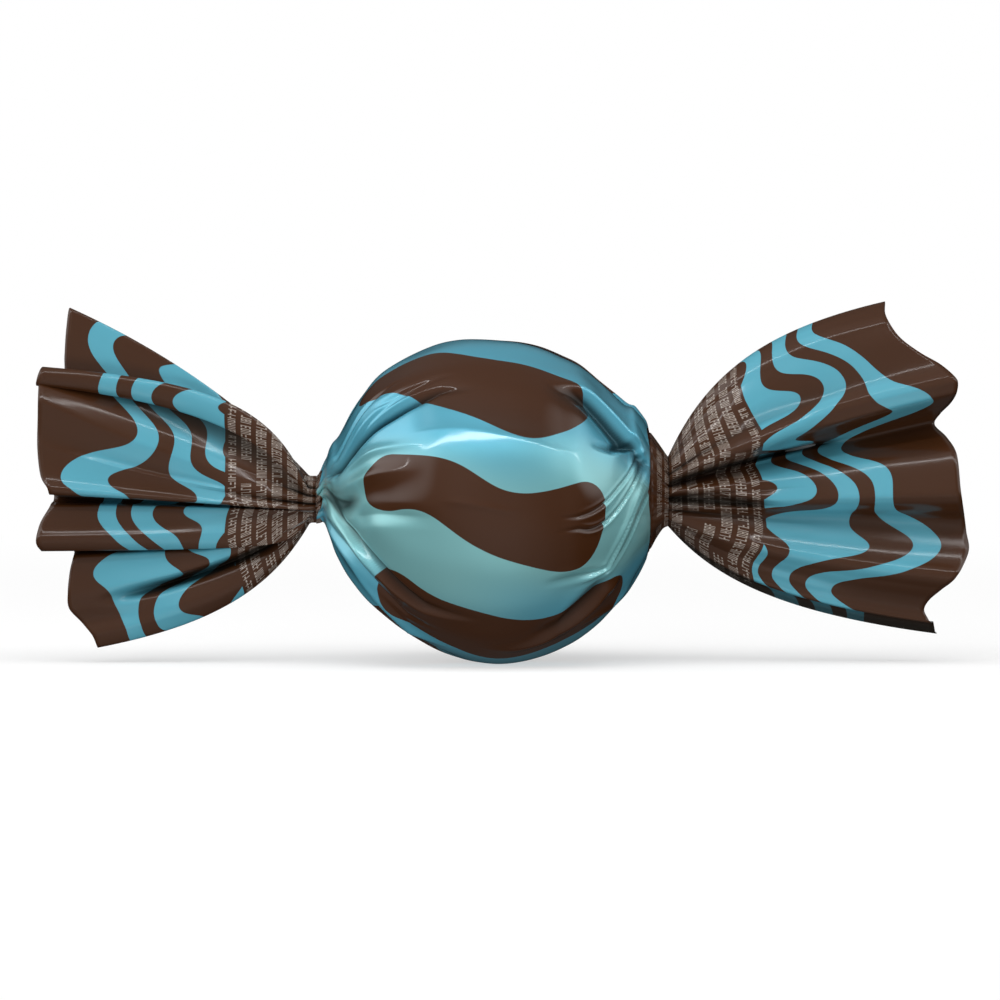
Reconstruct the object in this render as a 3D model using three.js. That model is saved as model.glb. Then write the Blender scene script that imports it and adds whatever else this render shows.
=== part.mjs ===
// A chocolate truffle in its twist wrapper.
//
// One sheet of printed film is drawn round a ball, twisted tight at both sides and left as a flat,
// pleated tail beyond each twist. The wrapper hides what is in it, so the whole is one solid: the
// ball with its film gathered to the twists, and each tail as a flattened, folded tube of film.
//
// Units are millimetres. +X runs along the wrapper towards the right tail, -Y is the printed front
// and +Z is up. The origin is the middle of the small flat foot under the ball.

import * as THREE from "three";
import { ParametricGeometry } from "three/addons/geometries/ParametricGeometry.js";

// Ball, with a flat foot under it.
const BALL_RADIUS = 18.6;
const FOOT_RADIUS = 4.8;
const BALL_CENTRE_Z = Math.sqrt(BALL_RADIUS ** 2 - FOOT_RADIUS ** 2);
const TAKE_OFF = THREE.MathUtils.degToRad(27); // where the film leaves the ball, from the X axis

// Gathers: ridges of film that run from each twist out over the ball.
const GATHER_COUNT = 11;
const GATHER_HEIGHT = 0.8;
const GATHER_REACH = THREE.MathUtils.degToRad(30); // the ridges' height falls to a third over this

// Tails. The film spreads from the twist in the shape of a bell. Stiffness 1 is straight, as the folds
// in the middle of a tail are, and a lower one opens earlier.
const MIDDLE_STIFFNESS = 1;
const FOLD_DEPTH_POWER = 0.8; // how the folds deepen from the twist to the cut edge
const ROUND_UNTIL = 0.3; // the share of a tail over which the round twist becomes flat

// Faces of the solid.
const AROUND = 8 * GATHER_COUNT;
const TAIL_ROWS = 9;
const SHOULDER_ROWS = 5;
const BALL_ROWS = 20;
const ROW_CROWDING = 1.3; // above 1, the rows crowd towards the twist

// A point of a tail's cut edge: how far it reaches out from the twist, how deep it lies (minus is
// towards the front) and how far across the tail it is from the twist's own height.
const cut = (reach, depth, across) => new THREE.Vector3(reach, depth, across);

const LEFT = {
  side: -1,
  twist: new THREE.Vector3(-19.6, 0, 18.7),
  twistRadius: 2.7,
  shoulder: 2.4, // how far the film stands straight off the twist before it turns over the ball
  stiffness: { bottom: 0.38, top: 0.78 },
  front: new THREE.CatmullRomCurve3([
    cut(24.9, -0.6, -16.9),
    cut(26.3, 0.1, -13.7),
    cut(28.2, -0.9, -10.6),
    cut(27.5, -1.3, -6.9),
    cut(29.6, -2.3, -6.2),
    cut(31.6, -3.0, -4.9),
    cut(30.4, -1.9, -1.0),
    cut(30.0, -3.8, 0.0),
    cut(31.2, -4.2, 2.3),
    cut(31.6, -3.0, 6.1),
    cut(31.6, -1.6, 11.9),
    cut(31.5, -2.5, 13.5),
    cut(30.8, -1.8, 14.9),
    cut(28.9, -0.3, 15.5),
    cut(28.0, -0.6, 21.8),
  ]),
  back: new THREE.CatmullRomCurve3([
    cut(28.0, 0.6, 21.8),
    cut(29.4, 2.0, 14.7),
    cut(31.0, 1.1, 9.3),
    cut(31.2, 2.8, 3.1),
    cut(30.4, 1.2, -2.7),
    cut(29.6, 2.4, -8.9),
    cut(26.4, 1.4, -13.9),
    cut(24.9, 0.6, -16.9),
  ]),
};

const RIGHT = {
  side: 1,
  twist: new THREE.Vector3(20.35, 0, 19.6),
  twistRadius: 4,
  shoulder: 3,
  stiffness: { bottom: 0.41, top: 0.33 },
  front: new THREE.CatmullRomCurve3([
    cut(30.7, -0.3, -16.2),
    cut(30.4, -0.7, -13.2),
    cut(32.4, -2.9, -10.2),
    cut(34.1, -2.0, -6.4),
    cut(33.7, -2.2, -4.0),
    cut(33.1, -4.8, -0.8),
    cut(32.6, -3.1, 4.4),
    cut(30.8, -1.2, 7.4),
    cut(32.0, -2.6, 9.4),
    cut(33.1, -4.2, 12.4),
    cut(30.6, -4.0, 15.0),
    cut(26.9, -2.8, 17.5),
    cut(24.7, -0.6, 21.7),
  ]),
  back: new THREE.CatmullRomCurve3([
    cut(24.7, 0.6, 21.7),
    cut(28.7, 1.4, 15.6),
    cut(31.7, 0.4, 10.6),
    cut(31.5, 2.6, 6.0),
    cut(32.5, 0.8, 0.2),
    cut(33.3, 2.2, -5.4),
    cut(31.7, 1.6, -11.4),
    cut(30.7, 1.4, -16.2),
  ]),
};

// Every ring of the wrapper is walked by the same turn: 0 is the bottom, 0.25 the front, 0.5 the
// top and 0.75 the back. This is the unit circle of that turn, in Y and Z.
function onCircle(turn) {
  const angle = turn * 2 * Math.PI;
  return { y: -Math.sin(angle), z: -Math.cos(angle) };
}

// A tail's point at a share of the way from the twist (0) to the cut edge (1).
function tailPoint(tail, share, turn) {
  const edge = turn < 0.5 ? tail.front.getPoint(turn * 2) : tail.back.getPoint(turn * 2 - 1);
  const { x: reach, y: depth, z: across } = edge;
  const ring = onCircle(turn);
  const ringY = ring.y * tail.twistRadius;
  const ringZ = ring.z * tail.twistRadius;
  const rim = across < 0 ? tail.front.points[0].z : tail.front.points.at(-1).z;
  const rimStiffness = across < 0 ? tail.stiffness.bottom : tail.stiffness.top;
  const stiffness = THREE.MathUtils.lerp(MIDDLE_STIFFNESS, rimStiffness, across / rim);
  const opening = share / (share + stiffness * (1 - share));
  const round = 1 - THREE.MathUtils.smoothstep(share, 0, ROUND_UNTIL);
  return new THREE.Vector3(
    tail.twist.x + tail.side * reach * share,
    ringY * round + depth * share ** FOLD_DEPTH_POWER,
    tail.twist.z + ringZ + (across - ringZ) * opening,
  );
}

// The end of a tail: each front point meets the back point behind it, which closes the cut edge.
function tailEnd(tail, turn) {
  const here = tailPoint(tail, 1, turn);
  const behind = tailPoint(tail, 1, 1 - turn);
  return here.add(behind).multiplyScalar(0.5);
}

// The film's relief on the ball: ridges that are high at the nearer twist and die out over it.
function gathers(fromTwist, turn) {
  const ridges = Math.abs(Math.cos(turn * GATHER_COUNT * Math.PI)) - 0.5;
  const uneven = 0.7 + 0.3 * Math.sin(turn * 6 * Math.PI + 1);
  return GATHER_HEIGHT * uneven * ridges * Math.exp(-fromTwist / GATHER_REACH);
}

// A ring of film at (x, radius), its middle at height z, laid flat where it would pass the foot.
function ringPoint(x, radius, z, turn) {
  const ring = onCircle(turn);
  return new THREE.Vector3(x, ring.y * radius, Math.max(0, z + ring.z * radius));
}

// The free film between a twist (share 0) and the point where it meets the ball (share 1).
function shoulderPoint(tail, share, turn) {
  const meets = new THREE.Vector2(Math.cos(TAKE_OFF), Math.sin(TAKE_OFF)).multiplyScalar(BALL_RADIUS);
  const tangent = new THREE.Vector2(Math.sin(TAKE_OFF), -Math.cos(TAKE_OFF)).multiplyScalar(tail.shoulder);
  const twist = new THREE.Vector2(Math.abs(tail.twist.x), tail.twistRadius);
  const profile = new THREE.CubicBezierCurve(
    twist,
    twist.clone().add(new THREE.Vector2(-0.2, tail.shoulder)),
    meets.clone().add(tangent),
    meets,
  );
  const at = profile.getPoint(share);
  const z = THREE.MathUtils.lerp(tail.twist.z, BALL_CENTRE_Z, share * (2 - share));
  return ringPoint(tail.side * at.x, at.y + gathers(TAKE_OFF * share, turn) * share, z, turn);
}

// The ball itself, at an angle from the -X axis.
function ballPoint(angle, turn) {
  const fromTwist = Math.min(angle, Math.PI - angle);
  const radius = BALL_RADIUS + gathers(fromTwist, turn);
  return ringPoint(-radius * Math.cos(angle), radius * Math.sin(angle), BALL_CENTRE_Z, turn);
}

// The wrapper's rings from the left cut edge to the right one, each a function of the turn.
function wrapperRings() {
  const shares = (rows, crowding) => Array.from({ length: rows }, (_, i) => ((i + 1) / rows) ** crowding);
  const tailRings = (tail) => [
    ...shares(TAIL_ROWS, ROW_CROWDING).map((share) => (turn) => tailPoint(tail, share, turn)),
    (turn) => tailEnd(tail, turn),
  ];
  const shoulderRings = (tail) =>
    [0, ...shares(SHOULDER_ROWS, 1)].map((share) => (turn) => shoulderPoint(tail, share, turn));
  const ballRings = shares(BALL_ROWS, 1)
    .slice(0, -1)
    .map((share) => (turn) => ballPoint(THREE.MathUtils.lerp(TAKE_OFF, Math.PI - TAKE_OFF, share), turn));
  return [
    ...tailRings(LEFT).reverse(),
    ...shoulderRings(LEFT),
    ...ballRings,
    ...shoulderRings(RIGHT).reverse(),
    ...tailRings(RIGHT),
  ];
}

function wrapperGeometry() {
  const rings = wrapperRings();
  const last = rings.length - 1;
  const surface = (along, turn, target) => target.copy(rings[Math.round(along * last)](turn % 1));
  return new ParametricGeometry(surface, last, AROUND);
}

const film = new THREE.MeshStandardMaterial({ color: 0x4b2d21, roughness: 0.3, metalness: 0.2 });

const truffle = new THREE.Group();
const wrapper = new THREE.Mesh(wrapperGeometry(), film);
wrapper.name = "wrapped_truffle";
truffle.add(wrapper);

export default truffle;
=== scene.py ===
"""A chocolate truffle in its twist wrapper, standing on a pale studio floor.

The wrapper is one sheet of printed film, drawn round a ball, twisted tight at both sides and left
as a flat, pleated tail beyond each twist. It is made in three pieces: the film round the ball and
the two tails. Each piece starts as a flat grid of film and is laid along its folds.

The film is worked out in millimetres and becomes metres in the mesh. +X runs along the wrapper,
-Y is the printed front and +Z is up.
"""

import math
from collections import namedtuple

import bmesh
import bpy
import numpy as np
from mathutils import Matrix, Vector


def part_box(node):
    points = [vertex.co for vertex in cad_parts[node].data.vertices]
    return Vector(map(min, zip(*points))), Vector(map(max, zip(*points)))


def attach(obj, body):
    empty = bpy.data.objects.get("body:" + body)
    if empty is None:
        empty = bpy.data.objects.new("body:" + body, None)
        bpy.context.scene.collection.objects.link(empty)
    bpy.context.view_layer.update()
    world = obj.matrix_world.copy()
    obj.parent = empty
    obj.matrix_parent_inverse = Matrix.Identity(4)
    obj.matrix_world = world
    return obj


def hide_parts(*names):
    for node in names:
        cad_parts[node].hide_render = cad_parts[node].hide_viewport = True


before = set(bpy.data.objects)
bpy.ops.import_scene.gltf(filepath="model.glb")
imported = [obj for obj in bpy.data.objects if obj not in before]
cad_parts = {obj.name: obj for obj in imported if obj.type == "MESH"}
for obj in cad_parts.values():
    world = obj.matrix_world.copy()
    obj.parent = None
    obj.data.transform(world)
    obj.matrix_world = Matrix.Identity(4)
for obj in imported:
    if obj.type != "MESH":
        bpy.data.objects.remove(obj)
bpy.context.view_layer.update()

MM = 0.001
low, high = (np.array(corner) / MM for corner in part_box("wrapped_truffle"))

# The ball stands on a small flat foot, at the middle of the frame.
BALL_RADIUS = (high[1] - low[1]) / 2
FOOT_RADIUS = 4.8
BALL_HEIGHT = math.sqrt(BALL_RADIUS**2 - FOOT_RADIUS**2)

# The film: its width goes round the ball with no slack, and each tail is as long as it reaches.
FILM_WIDTH = 2 * math.pi * BALL_RADIUS
FILM_THICKNESS = 0.07
BALL_FILM_LENGTH = 58.0
TAIL_FILM_LENGTH = 32.4
SHEET_LENGTH = BALL_FILM_LENGTH + 2 * TAIL_FILM_LENGTH

# The print on the ball: seven rows of bars go round it, on a ground of turquoise that lies towards
# the left, so that a brown collar is left at the right. One turn round the film is a whole wave.
ROUND_FILM = 2 * math.pi / FILM_WIDTH
BAR_PITCH = FILM_WIDTH / 7
BAR_HALF_LENGTH, BAR_HALF_WIDTH = 11.8, 4.5
GROUND_HALF_LENGTH, GROUND_SHIFT = 26.5, 1.9

# The ground turns from turquoise to a pearly mint along a band across the front of the ball: the
# film's sheen, painted into its colour.
SHEEN_HEIGHT, SHEEN_HALF_WIDTH, SHEEN_SOFTNESS = -3.5, 9.5, 5.0

# The print on a tail: rows of small marks from the twist on, and ribbons from there to the edge.
# The rows begin on the collar, and each is shifted against the last. A word is a stretch of
# marks, and a few are left bare. A ribbon's half width is a share of the ribbons' pitch, and they
# end this many pitches out.
MARKS_END = 10.6
MARK_PITCH, MARK_WIDTH, MARK_SHIFT = 1.8, 0.72, 7.3
WORD_LENGTH, WORD_SHIFT = 5.2, 3.1
COLLAR_MARKS = 2.8
RIBBON_PITCH, RIBBON_HALF_WIDTH, RIBBON_END = 6.7, 0.27, 4.0

# Grids of film: faces along the wrapper and round it.
BALL_ROWS, BALL_COLUMNS = 178, 556
TAIL_ROWS, TAIL_COLUMNS = 66, 736

# A twist: which side of the ball it is on, its place along X, its height, the radius of the film
# at its waist, how far the film is turned there, and its length as a share of the tail's.
Twist = namedtuple("Twist", "side place height radius swirl length")
LEFT_TWIST = Twist(-1, -19.6, 18.7, 2.7, 14.0, 0.028)
RIGHT_TWIST = Twist(1, 20.4, 19.6, 4.0, -24.0, 0.0)

# The pleats round a twist, and how deep they are as a share of its radius.
TWIST_PLEATS = 13
TWIST_PLEAT_DEPTH = 0.25

# The grids of film are this much denser in front, where it is seen.
FRONT_DENSITY = 0.4

# A hollow in a tail is film that lies behind the slow waves of its ring, by a share of the ring's
# length. Shade is painted on the film in its hollows, and it fades towards the cut edge. On the
# ball a hollow is relief as deep as this.
HOLLOW_WAVES = 14
HOLLOW_DEPTH = 0.008
OPEN_AT_EDGE = 0.55
BALL_HOLLOW_DEPTH = 0.75

# How much shade is painted into the film's colour in a hollow, and how much of its clear coat's
# gloss is taken away there, to darken its reflections too.
HOLLOW_SHADE = 0.85
HOLLOW_DULLING = 0.8

# Soft waves and ripples in the film. On the ball the ripples are longer along the wrapper than
# round it.
TENSION = (0.35, 1, 1)
BALL_WAVE_HEIGHT, BALL_RIPPLE_HEIGHT = 0.10, 0.06
TAIL_WAVE_HEIGHT, TAIL_RIPPLE_HEIGHT = 0.08, 0.012

# A tail: its rows of film are closer together near the twist, where it is round. Further out it is
# flat, and its folds deepen by this power of the way out.
ROW_CROWDING = 1.35
ROUND_UNTIL = 0.55
FOLD_DEPTH_POWER = 0.65


# ---- Curves and reliefs -------------------------------------------------------------------------


def smooth_step(start, end, value):
    """0 before start, 1 after end, with a smooth rise between them."""
    share = np.clip((value - start) / (end - start), 0, 1)
    return share * share * (3 - 2 * share)


def spline(p0, p1, p2, p3, share):
    """The stretch of a Catmull-Rom curve from p1 to p2."""
    return 0.5 * (
        2 * p1
        + (p2 - p0) * share
        + (2 * p0 - 5 * p1 + 4 * p2 - p3) * share**2
        + (3 * p1 - p0 - 3 * p2 + p3) * share**3
    )


def closed_curve(rows, steps):
    """A smooth curve through rows that begin with an angle, once round, from the first row back to
    it. Each stretch between two rows gets as many samples as steps."""
    rows = np.array(rows, float)
    before, after, beyond = (np.roll(rows, shift, axis=0) for shift in (1, -1, -2))
    before[0, 0] -= 360
    after[-1, 0] += 360
    beyond[-2:, 0] += 360
    share = (np.arange(steps) / steps)[None, :, None]
    curve = spline(before[:, None], rows[:, None], after[:, None], beyond[:, None], share)
    curve = curve.reshape(len(rows) * steps, -1)
    again = curve[0].copy()
    again[0] += 360
    return np.vstack([curve, again])


def open_curve(rows, steps):
    """An open smooth curve through the rows, from the first to the last."""
    rows = np.array(rows, float)
    rows = np.vstack([2 * rows[0] - rows[1], rows, 2 * rows[-1] - rows[-2]])
    p0, p1, p2, p3 = (rows[k : len(rows) - 3 + k, None, :] for k in range(4))
    share = (np.arange(steps) / steps)[None, :, None]
    curve = spline(p0, p1, p2, p3, share)
    return np.vstack([curve.reshape(-1, rows.shape[1]), rows[-2]])


def undulation(points, wavelength, seed):
    """A soft relief between about -1 and 1: waves of one length in many directions."""
    random = np.random.default_rng(seed)
    directions = random.normal(size=(9, 3))
    directions *= (2 * math.pi / wavelength) / np.linalg.norm(directions, axis=1)[:, None]
    phases = random.uniform(0, 2 * math.pi, 9)
    return np.sin(points @ directions.T + phases).sum(axis=1) / 4.5


def ridge(across, width):
    """A sharp crest that falls away on both sides."""
    return np.exp(-((np.abs(across) / width) ** 1.6))


def lap(across, width):
    """The edge of a layer that lies over the next: a steep rise, then a slow fall behind it."""
    rise = smooth_step(-0.45, 0.35, across)
    return rise * np.exp(-np.maximum(across, 0) / width) - 0.65 * ridge(across + 0.6, 0.55)


def pull(across, width):
    """A tight line in pulled film: steep above, with a slow fall below it."""
    return np.exp(-((np.where(across > 0, across, -across / 4) / width) ** 1.6))


def under_lap(across, width):
    """The edge of a layer that lies over the next from below."""
    return lap(-across, width)


def puff(across, width):
    """A loose layer that bulges above the line where it is held down."""
    share = np.maximum(across, 0) / width
    return share * np.exp(1 - share) - ridge(across, 0.45)


def brow(across, width):
    """A soft edge: the film turns away above it, and comes back."""
    share = np.maximum(across, 0) / width
    return -share * np.exp(1 - share)


def flap(across, width):
    """The rim of a layer that stands over a hollow."""
    above = smooth_step(-0.9, 0.8, across) * np.exp(-np.maximum(across, 0) / 2.4)
    below = smooth_step(0.7, -1.1, across) * np.exp(-((np.minimum(across, 0) / width) ** 2))
    return 0.6 * above - below


def groove(across, width):
    """A sharp valley with soft lips."""
    return 0.3 * ridge(np.abs(across) - 1.6 * width, width) - ridge(across, width)


def slit(across, width):
    """A deep narrow gap under the edge of a layer, which stands out above it."""
    edge = smooth_step(0, width, across) * np.exp(-np.maximum(across, 0) / 2.2)
    return 0.5 * edge - np.exp(-((across / width) ** 2))


# ---- The film at a twist ------------------------------------------------------------------------


def pleats(angle):
    """Bunched film round a twist: round crests at 0 and sharp valleys down to about -1."""
    crests = np.abs(np.cos(angle * TWIST_PLEATS / 2 + 0.7 * np.sin(2 * angle)))
    return (crests - 1) * (0.8 + 0.2 * np.sin(3 * angle + 1))


def twist_ring(twist, angle):
    """The film's depth and height, from the twist's own axis, round its waist."""
    radius = twist.radius * (1 + TWIST_PLEAT_DEPTH * pleats(angle))
    return -radius * np.cos(angle), radius * np.sin(angle)


# ---- Tails --------------------------------------------------------------------------------------

# Each tail is given by its folds at the cut edge, walked round the tube of film from the seam in
# the back, down the back, up the front and down the back again to the seam. A fold is: its angle
# at the twist in degrees (0 is the front, 90 the top), its reach as a share of the tail's, its
# depth (minus is towards the front), its height above the floor, and its stiffness: 1 runs
# straight from the twist, and a lower one spreads earlier. Where the height turns back, a layer of
# film is tucked behind the next.
LEFT_FOLDS = [
    (-176, 0.975, 2.0, 20.8, 1.00),
    (-160, 0.900, 1.1, 16.8, 0.90),
    (-148, 0.860, 1.6, 14.0, 0.80),
    (-145, 0.855, 2.1, 13.5, 0.80),
    (-142, 0.850, 3.0, 14.5, 0.80),
    (-138, 0.850, 3.9, 14.7, 0.80),
    (-134, 0.845, 4.1, 13.4, 0.75),
    (-124, 0.835, 3.4, 9.8, 0.60),
    (-108, 0.810, 2.4, 5.4, 0.37),
    (-90, 0.788, 0.4, 1.8, 0.33),
    (-80, 0.806, -0.7, 3.2, 0.33),
    (-72, 0.845, -0.5, 4.7, 0.36),
    (-64, 0.888, -1.1, 6.3, 0.42),
    (-58, 0.892, -1.5, 8.1, 0.42),
    (-53, 0.885, -1.5, 10.4, 0.34),
    (-50, 0.875, -1.5, 11.8, 0.26),
    (-48.8, 0.870, -1.0, 12.5, 0.20),
    (-47.8, 0.875, 0.7, 12.8, 0.17),
    (-46.8, 0.900, 0.7, 13.3, 0.14),
    (-45.8, 0.945, -0.8, 13.2, 0.10),
    (-44.5, 0.975, -2.1, 12.9, 0.05),
    (-43, 0.985, -2.8, 13.0, 0.04),
    (-40, 1.000, -3.3, 14.0, 0.06),
    (-36.5, 0.987, -3.2, 16.0, 0.20),
    (-34, 0.955, -2.9, 17.8, 0.46),
    (-33, 0.948, -2.3, 18.3, 0.54),
    (-32, 0.944, -0.4, 18.6, 0.58),
    (-31, 0.943, -0.4, 19.5, 0.62),
    (-30, 0.946, -2.8, 19.4, 0.76),
    (-28.5, 0.950, -4.4, 19.4, 0.86),
    (-26, 0.957, -4.8, 20.2, 1.00),
    (-20, 0.982, -4.1, 21.6, 1.20),
    (-8, 0.994, -3.3, 24.7, 1.50),
    (3, 0.992, -2.9, 28.4, 1.70),
    (11, 0.990, -2.6, 31.4, 1.00),
    (15, 0.994, -1.5, 32.7, 0.50),
    (17, 0.994, -1.5, 32.8, 0.35),
    (19, 0.997, -2.1, 31.7, 0.30),
    (22, 1.000, -2.9, 31.9, 0.20),
    (25, 0.990, -2.9, 33.1, 0.18),
    (28, 0.975, -2.1, 33.8, 0.18),
    (32, 0.955, -1.2, 32.8, 0.24),
    (36, 0.908, -0.7, 33.0, 0.35),
    (44, 0.904, -0.5, 35.0, 0.53),
    (62, 0.898, -0.3, 38.0, 0.60),
    (90, 0.886, 0.2, 40.5, 0.64),
    (106, 0.865, 1.2, 38.2, 0.60),
    (120, 0.865, 1.9, 34.8, 0.59),
    (132, 0.920, 1.2, 31.8, 0.70),
    (136, 0.940, 1.4, 31.0, 0.80),
    (140, 0.960, 1.9, 31.7, 0.80),
    (144, 0.965, 2.5, 31.9, 0.80),
    (149, 0.970, 2.8, 30.4, 0.85),
    (162, 0.985, 1.6, 26.0, 1.00),
]

RIGHT_FOLDS = [
    (-174, 0.940, 2.7, 19.6, 1.00),
    (-160, 0.960, 1.2, 14.8, 0.90),
    (-148, 0.950, 1.8, 12.2, 0.80),
    (-145, 0.945, 2.3, 11.7, 0.80),
    (-142, 0.940, 2.8, 12.7, 0.80),
    (-138, 0.935, 3.3, 12.9, 0.75),
    (-133, 0.910, 3.6, 11.2, 0.65),
    (-120, 0.835, 3.4, 7.6, 0.46),
    (-104, 0.850, 4.1, 4.6, 0.38),
    (-90, 0.905, 3.8, 3.3, 0.34),
    (-85, 0.903, 3.2, 3.3, 0.34),
    (-81, 0.895, 2.6, 4.5, 0.35),
    (-78, 0.880, -0.7, 4.6, 0.37),
    (-75, 0.868, -1.0, 5.2, 0.40),
    (-70, 0.856, -1.0, 6.2, 0.41),
    (-64, 0.872, -1.5, 7.3, 0.42),
    (-58, 0.908, -2.6, 8.5, 0.44),
    (-52, 0.955, -3.6, 10.0, 0.48),
    (-44, 1.000, -2.6, 12.8, 0.60),
    (-36, 0.995, -1.7, 15.0, 0.70),
    (-30, 0.988, -2.2, 16.6, 0.80),
    (-26, 0.980, -3.9, 17.6, 0.85),
    (-21, 0.972, -5.2, 18.8, 0.95),
    (-16, 0.966, -5.4, 20.2, 1.00),
    (-4, 0.956, -4.2, 23.9, 1.00),
    (3, 0.928, -1.9, 25.8, 0.95),
    (8, 0.893, 0.6, 27.2, 0.90),
    (12, 0.910, 0.2, 28.4, 0.86),
    (16, 0.937, -2.0, 29.6, 0.80),
    (20, 0.950, -4.2, 30.7, 0.74),
    (26, 0.955, -5.2, 31.9, 0.66),
    (30, 0.945, -5.2, 32.7, 0.60),
    (36, 0.900, -4.4, 34.1, 0.54),
    (42, 0.835, -3.6, 35.4, 0.48),
    (50, 0.775, -2.9, 36.9, 0.44),
    (60, 0.742, -2.2, 38.3, 0.39),
    (72, 0.722, -1.5, 39.8, 0.33),
    (90, 0.724, 0.3, 41.2, 0.32),
    (104, 0.700, 1.3, 39.2, 0.38),
    (118, 0.740, 2.2, 35.6, 0.48),
    (130, 0.850, 1.1, 31.4, 0.62),
    (134, 0.860, 1.3, 30.4, 0.70),
    (138, 0.865, 1.8, 31.1, 0.70),
    (142, 0.865, 2.5, 31.3, 0.72),
    (147, 0.860, 2.9, 29.6, 0.78),
    (160, 0.870, 1.6, 25.2, 0.92),
]

# A crease runs out along a tail: its shape, its angles at the twist and at the cut edge, the
# shares of the tail where it starts and ends, how far it stands out to the front, and its width.
# A slit also has shade painted inside it, as light hardly gets under the edge of its layer.
Crease = namedtuple("Crease", "shape angle end_angle start end height width")
LEFT_CREASES = [
    Crease(pull, 12.0, 12.0, 0.05, 1.8, 0.50, 0.75),
    Crease(pull, 7.5, 7.5, 0.05, 1.8, 0.88, 1.30),
    Crease(pull, -7.0, -7.0, 0.25, 1.1, 0.50, 0.80),
    Crease(pull, 27.0, 27.0, 0.10, 1.8, 0.40, 0.60),
    Crease(pull, -39.0, -39.0, 0.10, 1.8, 0.45, 0.60),
    Crease(slit, -60.0, -63.0, 0.08, 0.90, 2.80, 0.80),
    Crease(ridge, -75.0, -72.0, 0.00, 0.90, 1.20, 2.40),
    Crease(ridge, -52.0, -50.0, -0.12, 0.60, 0.60, 1.20),
    Crease(pull, 52.0, 52.0, 0.05, 0.7, 0.35, 0.70),
]
RIGHT_CREASES = [
    Crease(slit, 16.0, 8.0, -0.12, 0.70, 3.20, 0.75),
    Crease(ridge, 27.0, 22.0, -0.12, 0.60, 1.10, 2.20),
    Crease(slit, -14.0, -40.0, -0.12, 0.40, 3.60, 0.80),
    Crease(pull, -50.5, -50.5, 0.20, 1.80, 0.62, 1.00),
    Crease(pull, 20.5, 20.5, 0.20, 1.70, 0.62, 1.00),
    Crease(pull, 30.5, 30.5, 0.20, 1.80, 0.90, 1.40),
    Crease(pull, 64.0, 64.0, 0.20, 1.80, 0.90, 1.45),
    Crease(ridge, -68.0, -68.0, 0.15, 0.80, 0.60, 1.40),
    # No height: this slit only paints a band of shade along the tail's tucked-under bottom edge.
    Crease(slit, -84.0, -84.0, -0.12, 3.00, 0.00, 2.00),
]


def tail_edge(folds):
    """A tail's cut edge at each column of its grid: how far round the film it is, and five rows
    with its angle, reach, depth, height and stiffness."""
    curve = closed_curve(folds, 24)
    steps = np.diff(curve[:, 1:4] * [TAIL_FILM_LENGTH, 1, 1], axis=0)
    walked = np.concatenate([[0], np.cumsum(np.linalg.norm(steps, axis=1))])
    share = np.linspace(0, 1, TAIL_COLUMNS + 1)
    share += FRONT_DENSITY * np.sin(2 * math.pi * share) / (2 * math.pi)
    round_film = walked[-1] * share
    return round_film, [np.interp(round_film, walked, column) for column in curve.T]


def round_tail(points, facing, along, around):
    """Two things for each point of a tail: its place round its own ring of film, as a share of the
    way round, and how deep it lies in a hollow, from 0 in the open to 1, which sets the shade
    painted there."""
    order = np.lexsort((np.round(around, 6), np.round(along, 6)))
    rings = points[order].reshape(-1, TAIL_COLUMNS + 1, 3)
    walked = np.cumsum(np.linalg.norm(np.diff(rings, axis=1), axis=2), axis=1)
    walked = np.hstack([np.zeros((len(rings), 1)), walked])
    waves = np.fft.rfft(rings[:, :-1, 1], axis=1)
    waves *= np.exp(-((np.arange(waves.shape[1]) / HOLLOW_WAVES) ** 2))
    even = np.fft.irfft(waves, TAIL_COLUMNS, axis=1)
    even = np.hstack([even, even[:, :1]])
    deep = (even - rings[:, :, 1]) * facing[order].reshape(even.shape)
    deep = np.clip(deep / (HOLLOW_DEPTH * walked[:, -1:]), 0, 1)
    shares, hollow = np.empty(len(points)), np.empty(len(points))
    shares[order] = (walked / walked[:, -1:]).ravel()
    hollow[order] = deep.ravel()
    return shares, hollow


def lay_crease(crease, share, across):
    """A crease's height to the front and the shade painted in it, at shares of the way out along
    the tail and at distances across the crease. Near the twist the film is gathered, so a crease
    takes up more of it, and there is less room for its height."""
    fade = smooth_step(crease.start, crease.start + 0.12, share)
    fade *= 1 - smooth_step(0.6 * crease.end, crease.end, share)
    across = across * (0.25 + 0.75 * smooth_step(0, 0.6, share))
    narrow = crease.shape is slit
    room = share ** (0.5 if narrow else 0.2)
    height = crease.height * fade * room * crease.shape(across, crease.width)
    # Shade painted inside a slit, deepest along its middle.
    darkness = fade * np.exp(-((across / crease.width) ** 2)) if narrow else 0.0
    return height, darkness


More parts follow.
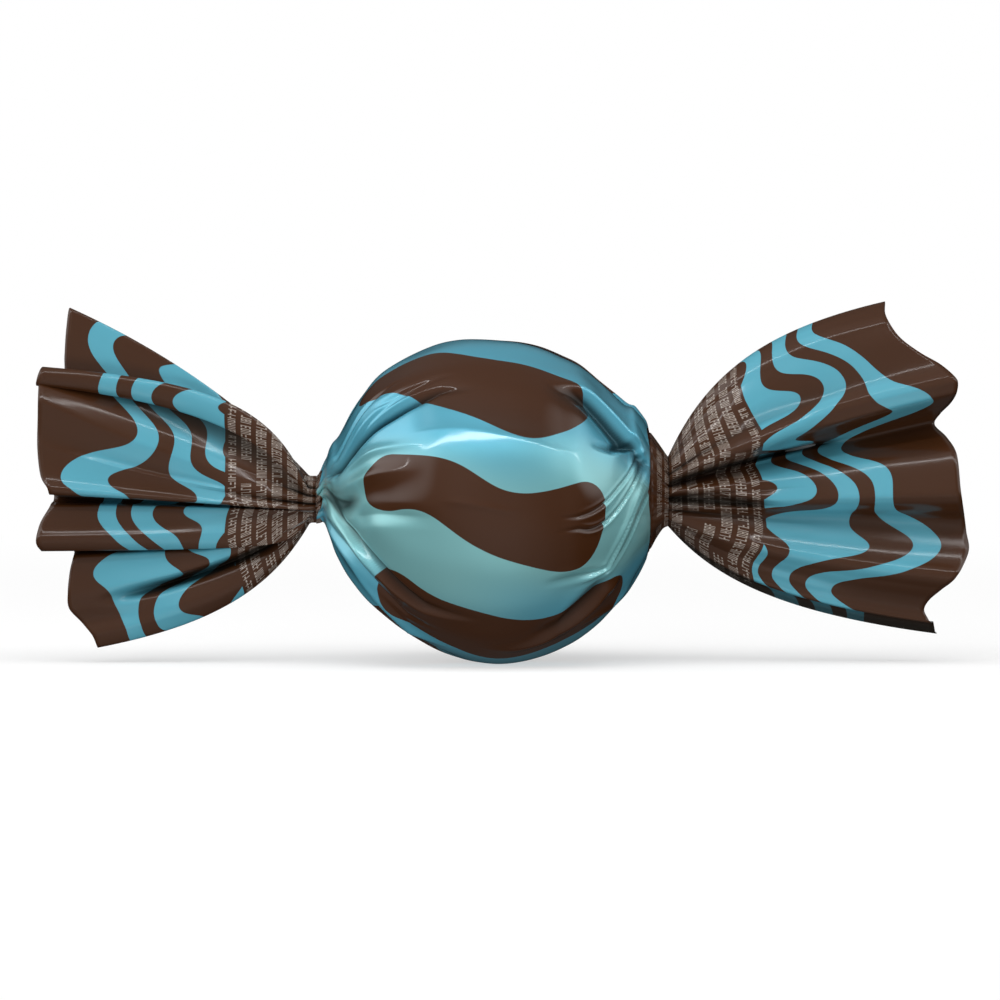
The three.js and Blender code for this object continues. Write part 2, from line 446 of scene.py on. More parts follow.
def tail_layer(twist, length, folds, creases):
    """A function that lays a tail's film: from shares along and round it to its points, their
    places on the flat film, along and round it, and how much shade is painted on them, from how
    deep they lie in a hollow or a slit."""
    round_film, (angles, reaches, depths, heights, stiffnesses) = tail_edge(folds)
    columns = np.linspace(0, 1, TAIL_COLUMNS + 1)

    def lay(along, around):
        share = along**ROW_CROWDING
        past_twist = np.maximum(share - twist.length, 0) / (1 - twist.length)
        angle, reach, depth, height, stiffness = (
            np.interp(around, columns, column)
            for column in (angles, reaches, depths, heights, stiffnesses)
        )
        place = np.interp(around, columns, round_film)
        turn = np.radians(angle)
        ring_depth, ring_height = twist_ring(twist, turn)
        opening = past_twist / (past_twist + stiffness * (1 - past_twist))
        flat = smooth_step(0, ROUND_UNTIL, share)
        x = twist.place + twist.side * length * reach * share
        y = ring_depth * (1 - flat) + depth * share**FOLD_DEPTH_POWER
        start = twist.height + ring_height
        z = start + (height - start) * opening
        outwards = -np.cos(turn)
        bunched = 0.5 * pleats(turn) * np.exp(-share / 0.18) * smooth_step(0, 0.06, share)
        y += outwards * bunched
        dark = np.zeros(len(share))
        for crease in creases:
            way = crease.angle + (crease.end_angle - crease.angle) * share
            across = place - np.interp(way, angles, round_film)
            stands_out, darkness = lay_crease(crease, share, across)
            y -= stands_out
            dark = np.maximum(dark, darkness)
        points = np.column_stack([x, y, z])
        long_waves = TAIL_WAVE_HEIGHT * undulation(points, 9, 3)
        short_waves = TAIL_RIPPLE_HEIGHT * undulation(points, 3.5, 4)
        points[:, 1] += (long_waves + short_waves) * smooth_step(0.05, 0.4, share)
        film_place = BALL_FILM_LENGTH / 2 + share * TAIL_FILM_LENGTH
        facing = np.clip(12 * outwards, -1, 1)
        shares, hollow = round_tail(points, facing, along, around)
        # The shade painted in hollows fades towards the cut edge.
        hollow *= 1 - OPEN_AT_EDGE * smooth_step(0.5, 0.9, share)
        return points, twist.side * film_place, shares, np.maximum(hollow, dark)

    return lay


# ---- The film round the ball --------------------------------------------------------------------

# A tension fold in the film on the ball: its shape, the twist that it starts from, three places
# that its path goes through, the angles where it starts and ends, its height and its width. A
# place is how far it is from the twist and how far round the ball it is from the front, both in
# degrees, with the top at 90.
Fold = namedtuple("Fold", "shape side path start end height width")
FRONT_FOLDS = [
    Fold(puff, -1, ((18, 28), (48, 37), (73, 44)), 8, 88, 0.95, 3.0),
    Fold(groove, -1, ((14, 37), (34, 46), (56, 54)), 10, 62, 0.28, 0.35),
    Fold(groove, -1, ((30, 33), (50, 42), (68, 47)), 26, 76, 0.22, 0.28),
    Fold(groove, -1, ((50, 45), (62, 47), (75, 51)), 46, 80, 0.25, 0.4),
    Fold(ridge, -1, ((12, 17), (33, 21.5), (56, 23)), 8, 68, 0.60, 0.7),
    Fold(ridge, -1, ((19, 9), (41, 10.5), (56, 12)), 12, 68, 0.66, 1.1),
    Fold(groove, -1, ((9, 0), (20, -1), (34, 0)), 4, 40, 1.10, 1.3),
    Fold(under_lap, -1, ((12, -6), (38, -31), (67, -46)), 6, 88, 1.15, 1.6),
    Fold(groove, -1, ((20, -29), (38, -39), (60, -56)), 12, 76, 0.55, 0.5),
    Fold(ridge, -1, ((15, -35), (37, -46), (61, -68)), 8, 80, 1.10, 0.9),
    Fold(groove, -1, ((20, -62), (38, -72), (64, -82)), 12, 84, 1.00, 1.5),
    Fold(groove, -1, ((39, -10), (48, -8), (65, -6)), 32, 76, 0.22, 0.9),
    Fold(ridge, -1, ((78, 0.5), (87, 0), (95, -1)), 72, 104, 0.14, 0.5),
    Fold(brow, -1, ((70, 27.6), (92, 26.4), (114, 22.4)), 60, 134, 0.18, 1.3),
    Fold(flap, 1, ((25.5, 31), (42, 49.5), (64, 53)), 20, 72, 1.30, 2.8),
    Fold(under_lap, 1, ((27, 33), (34, 32), (43, 26.5)), 22, 54, 0.70, 1.6),
    Fold(groove, 1, ((25, 33), (37, 12), (58, -4)), 20, 68, 0.32, 0.26),
    Fold(groove, 1, ((23, 28), (35, 3.5), (57, -9)), 20, 68, 0.34, 0.26),
    Fold(groove, 1, ((20, 20), (31, -6), (45, -31)), 18, 60, 0.34, 0.28),
    Fold(ridge, 1, ((23, 12.5), (33, -10.5), (44.5, -32)), 18, 60, 0.45, 0.70),
    Fold(groove, 1, ((20, 8), (28, -12), (43, -34.5)), 18, 62, 0.34, 0.28),
    Fold(groove, 1, ((49, -41), (57, -46), (65, -53)), 42, 78, 0.60, 1.3),
    Fold(ridge, 1, ((45, -46), (60, -54.5), (82, -61.7)), 36, 96, 0.60, 0.9),
    Fold(groove, 1, ((48, -31), (57, -29.5), (64, -29)), 44, 72, 0.30, 0.5),
    Fold(ridge, 1, ((42, -68), (48, -62.5), (53, -61.5)), 30, 60, 0.35, 0.7),
]

# Broad swells of the loose film: the twist they are measured from, how far from it and how far
# round they are, how high, and how wide in degrees.
Swell = namedtuple("Swell", "side away round height spread")
SWELLS = [
    Swell(-1, 48, -16, 0.3, 9),
    Swell(1, 52, 10, 0.3, 10),
]

# The ball's film from the left waist to the right one, in rings round the X axis: the place of a
# ring along X, the height of its middle and its radius. On the left the film leaves the waist at
# once. On the right it turns in to a notch, and a collar stands between the notch and the waist.
BALL_RINGS = [
    (-19.60, 18.60, 2.70),
    (-19.20, 18.90, 2.95),
    (-18.70, 19.50, 3.50),
    (-18.05, 19.25, 4.70),
    (-17.36, 18.95, 6.15),
    (-16.70, 18.65, 7.15),
    (-16.00, 18.70, 8.35),
    (-15.20, 18.95, 9.70),
    (-13.95, 19.20, 11.50),
    (-12.35, 19.35, 13.25),
    (-10.10, 19.20, 15.00),
    (-7.80, 19.05, 16.40),
    (-5.50, 18.93, 17.50),
    (-3.20, 18.80, 18.14),
    (-1.00, 18.60, 18.42),
    (1.30, 18.40, 18.45),
    (3.60, 18.35, 18.20),
    (5.90, 18.35, 17.60),
    (8.10, 18.35, 16.70),
    (10.40, 18.40, 15.50),
    (12.70, 18.30, 13.60),
    (14.60, 18.50, 11.75),
    (15.65, 18.78, 10.68),
    (16.40, 19.30, 9.95),
    (17.05, 19.50, 9.05),
    (17.70, 19.65, 8.05),
    (18.15, 19.70, 7.20),
    (18.25, 19.55, 7.00),
    (18.15, 19.50, 6.85),
    (18.45, 19.60, 6.65),
    (19.07, 19.80, 5.65),
    (19.75, 19.85, 4.65),
    (20.15, 19.70, 4.20),
    (20.40, 19.60, 4.00),
]


def side_folds(seed):
    """Folds round the top, back and underside of the ball, where the film gathers by chance."""
    random = np.random.default_rng(seed)
    folds = []
    for side in (-1, 1):
        for place in range(96, 275, 15):
            around = place + random.uniform(-5, 5)
            drift = random.uniform(-14, 14)
            reach = random.uniform(42, 78)
            path = ((12, around), (reach / 2, around + drift / 2), (reach, around + drift))
            shape = (lap, ridge, groove)[random.integers(3)]
            height, width = random.uniform(0.25, 0.55), random.uniform(0.8, 1.8)
            folds.append(Fold(shape, side, path, 8, reach, height, width))
    return folds


def ball_rings(shares):
    """The film's rings at shares of the way from the left waist to the right one."""
    rings = open_curve(BALL_RINGS, 12)
    steps = np.linalg.norm(np.diff(rings[:, [0, 2]], axis=0), axis=1)
    walked = np.concatenate([[0], np.cumsum(steps)])
    return [np.interp(shares, walked / walked[-1], column) for column in rings.T]


def fold_relief(fold, away, around):
    """A fold's height over the ball at places in degrees, from its twist and round the ball."""
    a, b, c = (np.array(place, float) for place in fold.path)
    path = np.polyfit([a[0], b[0], c[0]], [a[1], b[1], c[1]], 2)
    turn = (around - np.polyval(path, np.clip(away, a[0], c[0])) + 180) % 360 - 180
    across = np.radians(turn) * np.sin(np.radians(np.clip(away, 8, 90))) * BALL_RADIUS
    fade_out = fold.start + 0.55 * (fold.end - fold.start)
    fade = smooth_step(fold.start, fold.start + 8, away)
    fade *= 1 - smooth_step(fade_out, fold.end, away)
    return fold.height * fade * fold.shape(across, fold.width)


def swell_relief(swell, away, around):
    """A swell's height over the ball, by the angle between it and each place."""
    a, b = np.radians(swell.away), np.radians(away)
    turn = np.radians(around - swell.round)
    between = np.cos(a) * np.cos(b) + np.sin(a) * np.sin(b) * np.cos(turn)
    angle = np.degrees(np.arccos(np.clip(between, -1, 1)))
    return swell.height * np.exp(-((angle / swell.spread) ** 2))


def ball_relief(from_left, from_right, around):
    """The height of all folds and swells at places in degrees, from the twists and round."""
    relief = np.zeros_like(around)
    for fold in FRONT_FOLDS + side_folds(5):
        relief += fold_relief(fold, from_left if fold.side < 0 else from_right, around)
    for swell in SWELLS:
        relief += swell_relief(swell, from_left if swell.side < 0 else from_right, around)
    return relief


def lay_ball_film(along, around):
    """Lays the ball's film: from shares along and round it to its points, their places on the flat
    film, along and round it, and how deep they lie in a hollow, which sets the shade painted on
    them."""
    x, height, radius = ball_rings(along)
    from_left = np.degrees(np.arctan2(radius, -x))
    from_right = 180 - from_left
    nearest = np.minimum(from_left, from_right)
    turn = 2 * math.pi * (around - 0.5)
    turn -= FRONT_DENSITY * np.sin(turn)
    width_share = turn / (2 * math.pi) + 0.5
    swirl = np.where(x < 0, LEFT_TWIST.swirl, RIGHT_TWIST.swirl)
    twisted = turn + np.radians(swirl) * (1 - smooth_step(8, 34, nearest))
    relief = ball_relief(from_left, from_right, np.degrees(twisted))
    # The deeper a fold's valley, the more shade is painted there.
    hollow = np.clip(-relief / BALL_HOLLOW_DEPTH, 0, 1) * smooth_step(9, 14, nearest)
    outwards = np.column_stack([x, -radius * np.cos(twisted), radius * np.sin(twisted)])
    relief *= np.clip(radius / 12, 0, 1) ** 1.3
    long_waves = BALL_WAVE_HEIGHT * undulation(outwards, 11, 1)
    short_waves = BALL_RIPPLE_HEIGHT * undulation(outwards * TENSION, 4.5, 2)
    relief += long_waves + short_waves
    relief *= np.where(x < 0, smooth_step(9, 17, nearest), smooth_step(20, 24, nearest))
    points = outwards * (1 + relief / BALL_RADIUS)[:, None]
    bunched = TWIST_PLEAT_DEPTH * pleats(turn + np.radians(swirl)) * radius
    bunched *= np.exp(-np.maximum(nearest - 9, 0) / 8)
    points[:, 1] -= np.cos(twisted) * bunched
    points[:, 2] += np.sin(twisted) * bunched + height
    points[:, 2] = np.maximum(points[:, 2], 0)
    return points, (along - 0.5) * BALL_FILM_LENGTH, width_share, hollow


# ---- Pieces -------------------------------------------------------------------------------------


def film_piece(name, rows, columns, lay):
    """A flat grid of film, laid by a function and closed along its seam. Its UV map holds the flat
    sheet's own places, as shares of the whole sheet's length and width."""
    sheet = bmesh.new()
    sheet.loops.layers.uv.new("film")
    bmesh.ops.create_grid(sheet, x_segments=rows, y_segments=columns, size=0.5, calc_uvs=True)
    mesh = bpy.data.meshes.new(name)
    sheet.to_mesh(mesh)
    flat = np.empty(len(mesh.vertices) * 3, np.float32)
    mesh.vertices.foreach_get("co", flat)
    flat = flat.reshape(-1, 3).astype(float) + 0.5
    along, around = np.clip(flat[:, 0], 0, 1), np.clip(flat[:, 1], 0, 1)
    points, length_place, width_share, hollow = lay(along, around)
    mesh.vertices.foreach_set("co", (points * MM).astype(np.float32).ravel())
    # How deep each point lies in a hollow or a slit: the materials paint shade by it.
    depths = mesh.attributes.new("hollow", "FLOAT", "POINT")
    depths.data.foreach_set("value", hollow.astype(np.float32))
    corners = np.empty(len(mesh.loops), np.int32)
    mesh.loops.foreach_get("vertex_index", corners)
    film = np.column_stack([length_place / SHEET_LENGTH + 0.5, width_share])[corners]
    mesh.uv_layers["film"].data.foreach_set("uv", film.astype(np.float32).ravel())
    sheet.clear()
    sheet.from_mesh(mesh)
    bmesh.ops.remove_doubles(sheet, verts=sheet.verts, dist=1e-4 * MM)
    return sheet, mesh


def finish_piece(sheet, mesh):
    """Puts a sheet into the scene as a smooth piece of the wrapper."""
    for face in sheet.faces:
        face.smooth = True
    sheet.to_mesh(mesh)
    sheet.free()
    piece = bpy.data.objects.new(mesh.name, mesh)
    bpy.context.scene.collection.objects.link(piece)
    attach(piece, "root")
    return piece


def ball_wrap(printed):
    """The film round the ball, shut at both twists."""
    sheet, mesh = film_piece("ball_wrap", BALL_ROWS, BALL_COLUMNS, lay_ball_film)
    open_ends = [edge for edge in sheet.edges if edge.is_boundary]
    bmesh.ops.holes_fill(sheet, edges=open_ends, sides=0)
    bmesh.ops.recalc_face_normals(sheet, faces=sheet.faces)
    piece = finish_piece(sheet, mesh)
    mesh.materials.append(printed)
    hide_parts("wrapped_truffle")
    return piece


def tail(name, twist, end, folds, creases, printed, inner):
    """A tail from its twist to its end: an open tube of thin film, printed on the outside."""
    length = abs(end - twist.place)
    lay = tail_layer(twist, length, folds, creases)
    sheet, mesh = film_piece(name, TAIL_ROWS, TAIL_COLUMNS, lay)
    if twist.side < 0:
        bmesh.ops.reverse_faces(sheet, faces=sheet.faces)
    piece = finish_piece(sheet, mesh)
    mesh.materials.append(printed)
    mesh.materials.append(inner)
    thickness = piece.modifiers.new("film thickness", "SOLIDIFY")
    thickness.thickness = FILM_THICKNESS * MM
    thickness.offset = -1
    thickness.material_offset = 1
    thickness.material_offset_rim = 0
    return piece


# ---- Materials ----------------------------------------------------------------------------------

BALL_BROWN_INK = (0.047, 0.0150, 0.0040, 1)
TAIL_BROWN_INK = (0.046, 0.0158, 0.0050, 1)
TAIL_TURQUOISE_INK = (0.084, 0.325, 0.418, 1)
BALL_TURQUOISE_INK = (0.105, 0.420, 0.560, 1)
# The mint of the pearly film's sheen, painted into its colour.
PAINTED_MINT_SHEEN = (0.232, 0.530, 0.545, 1)
PALE_INK = (0.34, 0.29, 0.25, 1)
# The dark colour painted into the film's hollows and slits as shade.
PAINTED_SHADE_COLOUR = (0.004, 0.006, 0.005, 1)


class Print:
    """Short names for the shader nodes of a material or of the surround."""

    def __init__(self, material):
        self.tree = material.node_tree

    def node(self, kind, **settings):
        made = self.tree.nodes.new(kind)
        for name, value in settings.items():
            setattr(made, name, value)
        return made

    def feed(self, socket, value):
        if isinstance(value, bpy.types.NodeSocket):
            self.tree.links.new(value, socket)
        else:
            socket.default_value = value

    def math(self, operation, *values):
        made = self.node("ShaderNodeMath", operation=operation)
        for socket, value in zip(made.inputs, values):
            self.feed(socket, value)
        return made.outputs[0]

    def add(self, *values):
        total = values[0]
        for value in values[1:]:
            total = self.math("ADD", total, value)
        return total

    def less(self, a, b):
        return self.math("SUBTRACT", a, b)

    def both(self, a, b):
        return self.math("MULTIPLY", a, b)

    def either(self, a, b):
        return self.math("MAXIMUM", a, b)

    def mix(self, share, a, b):
        made = self.node("ShaderNodeMix", data_type="RGBA")
        self.feed(made.inputs["Factor"], share)
        self.feed(made.inputs[6], a)
        self.feed(made.inputs[7], b)
        return made.outputs[2]

    def inside(self, distance, half_width, softness=0.05):
        """1 where a distance is under half_width and 0 beyond it, with a soft edge."""
        made = self.node("ShaderNodeMapRange", interpolation_type="SMOOTHSTEP")
        self.feed(made.inputs["Value"], self.less(distance, half_width))
        self.feed(made.inputs["From Min"], softness)
        self.feed(made.inputs["From Max"], -softness)
        return made.outputs[0]

    def repeat(self, value, period):
        """The distance from the middle of the nearest of evenly spaced lines."""
        share = self.math("FRACT", self.math("DIVIDE", value, period))
        return self.both(self.math("ABSOLUTE", self.less(share, 0.5)), period)

    def wave(self, height, *angles):
        return self.both(self.math("SINE", self.add(*angles)), height)


def wandering(p, length_place, width_place):
    """A slow wander for wavy lines, in millimetres, that meets itself round the film."""
    third = p.wave(1.2, p.both(width_place, 3 * ROUND_FILM), p.both(length_place, 0.24))
    fifth = p.wave(0.8, p.both(width_place, 5 * ROUND_FILM), p.both(length_place, -0.33), 2.0)
    return p.add(third, fifth)


def ball_bars(p, length_place, width_place):
    """Wavy bars with round ends along the wrapper, in rows that are shifted by turns."""
    sag = p.wave(2.6, p.both(length_place, 2 * math.pi / 44), 0.6)
    wander = p.both(wandering(p, length_place, width_place), 0.6)
    line = p.add(width_place, sag, wander, BAR_PITCH / 2)
    row = p.math("FLOOR", p.math("DIVIDE", line, BAR_PITCH))
    shift = p.wave(2.2, p.both(row, 10 * math.pi / 7), -0.16)
    beyond = p.less(p.math("ABSOLUTE", p.less(length_place, shift)), BAR_HALF_LENGTH)
    beyond = p.math("MAXIMUM", beyond, 0.0)
    across = p.repeat(line, BAR_PITCH)
    distance = p.math("SQRT", p.math("MULTIPLY_ADD", beyond, beyond, p.both(across, across)))
    swelling = p.wave(0.8, p.both(width_place, 2 * ROUND_FILM), p.both(length_place, 0.22))
    return p.inside(distance, p.add(BAR_HALF_WIDTH, swelling))


def tail_ribbons(p, from_twist, length_place, width_place):
    """Marbled ribbons that wander round a tail side by side, between its marks and its edge."""
    slow = p.wave(0.46, p.both(width_place, 4 * ROUND_FILM), p.both(length_place, 0.15))
    quick = p.wave(0.25, p.both(width_place, 9 * ROUND_FILM), p.both(length_place, -0.24), 1.0)
    line = p.add(p.math("DIVIDE", from_twist, RIBBON_PITCH), slow, quick)
    ribbon = p.inside(p.repeat(line, 1.0), RIBBON_HALF_WIDTH, 0.003)
    inner = p.math("LESS_THAN", line, RIBBON_END)
    return p.both(p.both(ribbon, inner), p.math("GREATER_THAN", from_twist, MARKS_END))


def small_marks(p, from_twist, width_place):
    """Rows of tiny pale strokes, close together, round the root of a tail."""
    rows = p.math("DIVIDE", from_twist, MARK_PITCH)
    row, up = p.math("FLOOR", rows), p.math("FRACT", rows)
    marks = p.math("DIVIDE", p.add(width_place, p.both(row, MARK_SHIFT)), MARK_WIDTH)
    mark, across = p.math("FLOOR", marks), p.math("FRACT", marks)
    strokes = 0.0
    for number, (place, share) in enumerate(((0.25, 0.2), (0.75, 0.5))):
        upright = p.inside(p.math("ABSOLUTE", p.less(across, place)), 0.10, 0.03)
        drawn = p.math("GREATER_THAN", chance(p, p.add(mark, 300 * number), row), share)
        strokes = p.either(strokes, p.both(upright, drawn))
    middle = p.inside(p.math("ABSOLUTE", p.less(across, 0.5)), 0.33, 0.03)
    for number, place in enumerate((0.22, 0.50, 0.78)):
        level = p.inside(p.math("ABSOLUTE", p.less(up, place)), 0.05, 0.02)
        drawn = p.math("GREATER_THAN", chance(p, p.add(mark, 300 * number + 1000), row), 0.5)
        strokes = p.either(strokes, p.both(p.both(level, middle), drawn))
    in_row = p.inside(p.math("ABSOLUTE", p.less(up, 0.5)), 0.33, 0.02)
    words = p.math("DIVIDE", p.add(width_place, p.both(row, WORD_SHIFT)), WORD_LENGTH)
    word = p.math("FLOOR", words)
    printed = p.math("GREATER_THAN", chance(p, row, word), 0.12)
    near = p.inside(p.math("ABSOLUTE", p.less(from_twist, MARKS_END / 2)), MARKS_END / 2 - 0.4)
    return p.both(p.both(strokes, in_row), p.both(printed, near))


def chance(p, a, b):
    """A random number between 0 and 1 for each pair of whole numbers."""
    cell = p.node("ShaderNodeCombineXYZ")
    p.feed(cell.inputs[0], a)
    p.feed(cell.inputs[1], b)
    noise = p.node("ShaderNodeTexWhiteNoise", noise_dimensions="2D")
    p.feed(noise.inputs["Vector"], cell.outputs[0])
    return noise.outputs["Value"]


def film_places(p):
    """The flat film's own places in millimetres: along it, round it, and outwards from a twist."""
    parts = p.node("ShaderNodeSeparateXYZ")
    p.feed(parts.inputs[0], p.node("ShaderNodeUVMap", uv_map="film").outputs[0])
    length_place = p.math("MULTIPLY_ADD", parts.outputs[0], SHEET_LENGTH, -SHEET_LENGTH / 2)
    width_place = p.math("MULTIPLY_ADD", parts.outputs[1], FILM_WIDTH, -FILM_WIDTH / 2)
    from_twist = p.less(p.math("ABSOLUTE", length_place), BALL_FILM_LENGTH / 2)
    return length_place, width_place, from_twist


def paint_shade_in_hollows(p, shader, colour, coat):
    """Sets a film's colour and the weight of its clear coat. In the film's hollows, where its
    folds keep the light out, it paints shade into the colour and dulls the coat."""
    hollow = p.node("ShaderNodeAttribute", attribute_name="hollow").outputs["Fac"]
    p.feed(shader.inputs["Base Color"], p.mix(p.both(hollow, HOLLOW_SHADE), colour, PAINTED_SHADE_COLOUR))
    gloss = p.math("MULTIPLY_ADD", hollow, -HOLLOW_DULLING * coat, coat)
    p.feed(shader.inputs["Coat Weight"], gloss)


def ball_film():
    """Glossy film over a metal layer. The turquoise is pearly, with its mint sheen painted across
    the front. The bars and the collars are an opaque brown. Shade is painted into its hollows."""
    material = bpy.data.materials.new("ball_film")
    material.use_nodes = True
    p = Print(material)
    length_place, width_place, from_twist = film_places(p)
    ripple = p.wave(0.5, p.both(width_place, 5 * ROUND_FILM), 0.8)
    from_middle = p.math("ABSOLUTE", p.add(length_place, ripple, GROUND_SHIFT))
    on_ground = p.inside(from_middle, GROUND_HALF_LENGTH)
    bare = p.less(1.0, ball_bars(p, length_place, width_place))
    turquoise = p.both(bare, on_ground)
    # A band of painted sheen: mint across the front of the ball.
    cloud = p.wave(2.0, p.both(width_place, 5 * ROUND_FILM), p.both(length_place, 0.21))
    from_sheen = p.math("ABSOLUTE", p.add(width_place, -SHEEN_HEIGHT, cloud))
    mint_sheen = p.inside(from_sheen, SHEEN_HALF_WIDTH, SHEEN_SOFTNESS)
    ground = p.mix(mint_sheen, BALL_TURQUOISE_INK, PAINTED_MINT_SHEEN)
    shader = material.node_tree.nodes["Principled BSDF"]
    colour = p.mix(turquoise, BALL_BROWN_INK, ground)
    marks = small_marks(p, p.add(from_twist, COLLAR_MARKS), width_place)
    colour = p.mix(p.both(marks, 0.8), colour, PALE_INK)
    paint_shade_in_hollows(p, shader, colour, coat=1.0)
    p.feed(shader.inputs["Metallic"], p.both(turquoise, 0.45))
    shader.inputs["Roughness"].default_value = 0.36
    shader.inputs["Specular IOR Level"].default_value = 0.12
    shader.inputs["Coat Roughness"].default_value = 0.08
    return material


def tail_film():
    """Glossy printed film: brown, with turquoise ribbons and small pale marks near the twist."""
    material = bpy.data.materials.new("tail_film")
    material.use_nodes = True
    p = Print(material)
    length_place, width_place, from_twist = film_places(p)
    ribbons = tail_ribbons(p, from_twist, length_place, width_place)
    marks = small_marks(p, from_twist, width_place)
    colour = p.mix(ribbons, TAIL_BROWN_INK, TAIL_TURQUOISE_INK)
    colour = p.mix(p.both(marks, 0.9), colour, PALE_INK)
    shader = material.node_tree.nodes["Principled BSDF"]
    paint_shade_in_hollows(p, shader, colour, coat=0.9)
    shader.inputs["Roughness"].default_value = 0.40
    shader.inputs["Specular IOR Level"].default_value = 0.10
    shader.inputs["Coat Roughness"].default_value = 0.17
    return material


def inner_film():
    """The film's unprinted inner side, which shows its metal layer."""
    material = bpy.data.materials.new("inner_film")
    material.use_nodes = True
    shader = material.node_tree.nodes["Principled BSDF"]
    shader.inputs["Base Color"].default_value = (0.55, 0.57, 0.58, 1)
    shader.inputs["Metallic"].default_value = 0.6
    shader.inputs["Roughness"].default_value = 0.40
    return material


# ---- Studio -------------------------------------------------------------------------------------

# Camera: its height above level in degrees, its lens in millimetres, the point that it looks at
# and the width that it sees there, in metres.
VIEW_ELEVATION = 2.0
LENS = 200
VIEW_MIDDLE = (0.0013, 0, 0.0186)
VIEW_WIDTH = 0.11385

# The floor is a soft white near the wrapper, and plain white from further out, in metres.
FLOOR_NEAR, FLOOR_FAR = 0.05, 0.35


def studio_floor():
    """A pale floor that neither throws light back up at the wrapper nor hides a light from it."""
    made = bmesh.new()
    bmesh.ops.create_grid(made, x_segments=1, y_segments=1, size=6.0)
    mesh = bpy.data.meshes.new("floor")
    made.to_mesh(mesh)
    made.free()
    floor = bpy.data.objects.new("floor", mesh)
    bpy.context.scene.collection.objects.link(floor)
    floor.visible_diffuse = False
    floor.visible_glossy = False
    floor.visible_shadow = False
    material = bpy.data.materials.new("pale_floor")
    material.use_nodes = True
    shader = material.node_tree.nodes["Principled BSDF"]
    p = Print(material)
    distance = p.node("ShaderNodeVectorMath", operation="LENGTH")
    p.feed(distance.inputs[0], p.node("ShaderNodeTexCoord").outputs["Object"])
    far = p.node("ShaderNodeMapRange", interpolation_type="SMOOTHSTEP")
    p.feed(far.inputs["Value"], distance.outputs["Value"])
    p.feed(far.inputs["From Min"], FLOOR_NEAR)
    p.feed(far.inputs["From Max"], FLOOR_FAR)
    p.feed(shader.inputs["Base Color"], p.mix(far.outputs[0], (0.45, 0.45, 0.45, 1), (0, 0, 0, 1)))
    shader.inputs["Roughness"].default_value = 0.9
    shader.inputs["Specular IOR Level"].default_value = 0.0
    shader.inputs["Emission Color"].default_value = (1, 1, 1, 1)
    p.feed(shader.inputs["Emission Strength"], p.math("MULTIPLY_ADD", far.outputs[0], 0.45, 0.55))
    mesh.materials.append(material)
    return floor


def softbox(name, azimuth, elevation, distance, size, power, mirrored=True):
    """A soft light that faces the wrapper. Azimuth 0 is in front of it, and 90 to its right. One
    that isn't mirrored lights the film without a reflection in its gloss."""
    light = bpy.data.lights.new(name, "AREA")
    light.shape = "RECTANGLE"
    light.size, light.size_y = size
    light.energy = power
    lamp = bpy.data.objects.new(name, light)
    bpy.context.scene.collection.objects.link(lamp)
    side, up = math.radians(azimuth), math.radians(elevation)
    towards = Vector((math.sin(side) * math.cos(up), -math.cos(side) * math.cos(up), math.sin(up)))
    lamp.location = Vector((0, 0, BALL_HEIGHT * MM)) + towards * distance
    lamp.rotation_euler = towards.to_track_quat("Z", "Y").to_euler()
    lamp.visible_glossy = mirrored
    return lamp


def glow(p, direction, towards, start, strength):
    """A round soft light of the surround. Its strength is full in one direction, and falls to 0
    where the cosine of the angle from there is start."""
    beam = p.node("ShaderNodeVectorMath", operation="DOT_PRODUCT")
    p.feed(beam.inputs[0], direction)
    p.feed(beam.inputs[1], Vector(towards).normalized())
    light = p.node("ShaderNodeMapRange", interpolation_type="SMOOTHSTEP")
    p.feed(light.inputs["Value"], beam.outputs["Value"])
    p.feed(light.inputs["From Min"], start)
    p.feed(light.inputs["To Max"], strength)
    return light.outputs[0]


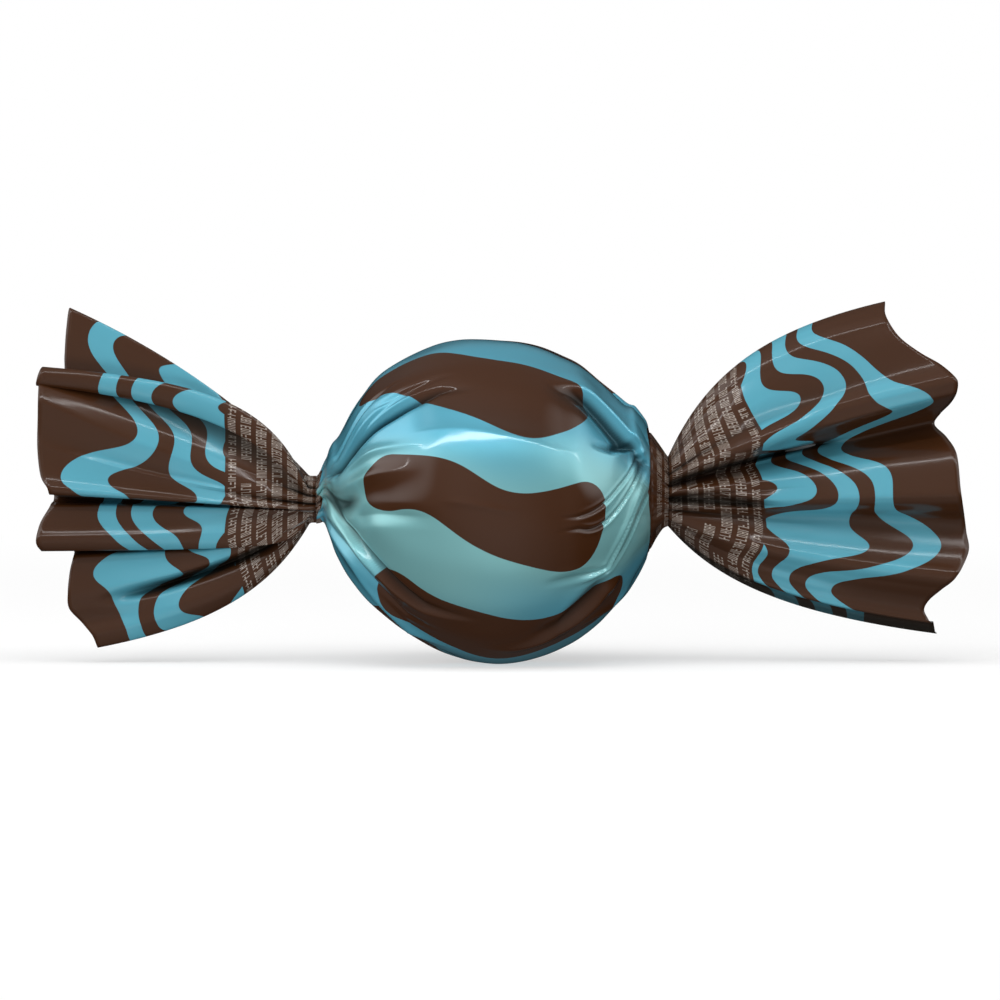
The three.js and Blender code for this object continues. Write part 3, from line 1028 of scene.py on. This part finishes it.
def studio_surround():
    """Plain white to look at. As light it is dark, with soft glows: weak ones in front, above and
    below, and a strong one at each side."""
    world = bpy.data.worlds.new("studio")
    world.use_nodes = True
    p = Print(world)
    background = world.node_tree.nodes["Background"]
    direction = p.node("ShaderNodeTexCoord").outputs["Generated"]
    light = p.add(
        glow(p, direction, (-0.15, -1, 0.2), -0.5, 0.14),
        glow(p, direction, (0, -1, 0.1), 0.7, 0.09),
        glow(p, direction, (-0.6, -0.5, 0.7), 0.5, 0.15),
        glow(p, direction, (-0.9, -0.1, 0.4), 0.80, 1.6),
        glow(p, direction, (0.9, -0.15, 0.4), 0.82, 1.3),
        glow(p, direction, (0, 0.2, 1), 0.2, 0.18),
        glow(p, direction, (0, 0.3, -1), 0.3, 0.06),
        glow(p, direction, (0, -0.8, -0.6), 0.4, 0.16),
    )
    seen = p.node("ShaderNodeLightPath").outputs["Is Camera Ray"]
    p.feed(background.inputs["Strength"], p.either(light, seen))
    background.inputs["Color"].default_value = (1, 1, 1, 1)
    bpy.context.scene.world = world


def studio_lights(pieces):
    """A long thin softbox above the front draws the streaks of light along the film. The fills
    only light it, and the one behind leaves the floor alone."""
    wrapper = bpy.data.collections.new("wrapper")
    for piece in pieces:
        wrapper.objects.link(piece)
    softbox("key_softbox", 4, 50, 0.8, (2.20, 0.028), 2.5).data.shape = "ELLIPSE"
    softbox("front_fill", -25, 20, 1.1, (0.7, 0.5), 2.7, mirrored=False)
    softbox("lower_fill", 4, -32, 1.1, (0.7, 0.4), 5.0, mirrored=False)
    softbox("top_fill", 0, 72, 0.8, (0.8, 0.5), 3.3, mirrored=False)
    back_fill = softbox("back_fill", 180, 25, 1.1, (0.9, 0.5), 3.6, mirrored=False)
    back_fill.light_linking.receiver_collection = wrapper
    studio_surround()
    bpy.context.scene.view_settings.view_transform = "Standard"


def studio_camera():
    """A long lens in front of the wrapper, a little above its middle."""
    data = bpy.data.cameras.new("camera")
    data.lens = LENS
    camera = bpy.data.objects.new("camera", data)
    bpy.context.scene.collection.objects.link(camera)
    distance = VIEW_WIDTH * data.lens / data.sensor_width
    elevation = math.radians(VIEW_ELEVATION)
    middle = Vector(VIEW_MIDDLE)
    camera.location = middle + Vector((0, -math.cos(elevation), math.sin(elevation))) * distance
    camera.rotation_euler = (middle - camera.location).to_track_quat("-Z", "Y").to_euler()
    data.clip_start, data.clip_end = 0.01, 20
    bpy.context.scene.camera = camera


printed, inner = tail_film(), inner_film()
pieces = [
    ball_wrap(ball_film()),
    tail("left_tail", LEFT_TWIST, low[0], LEFT_FOLDS, LEFT_CREASES, printed, inner),
    tail("right_tail", RIGHT_TWIST, high[0], RIGHT_FOLDS, RIGHT_CREASES, printed, inner),
]
studio_floor()
studio_lights(pieces)
studio_camera()
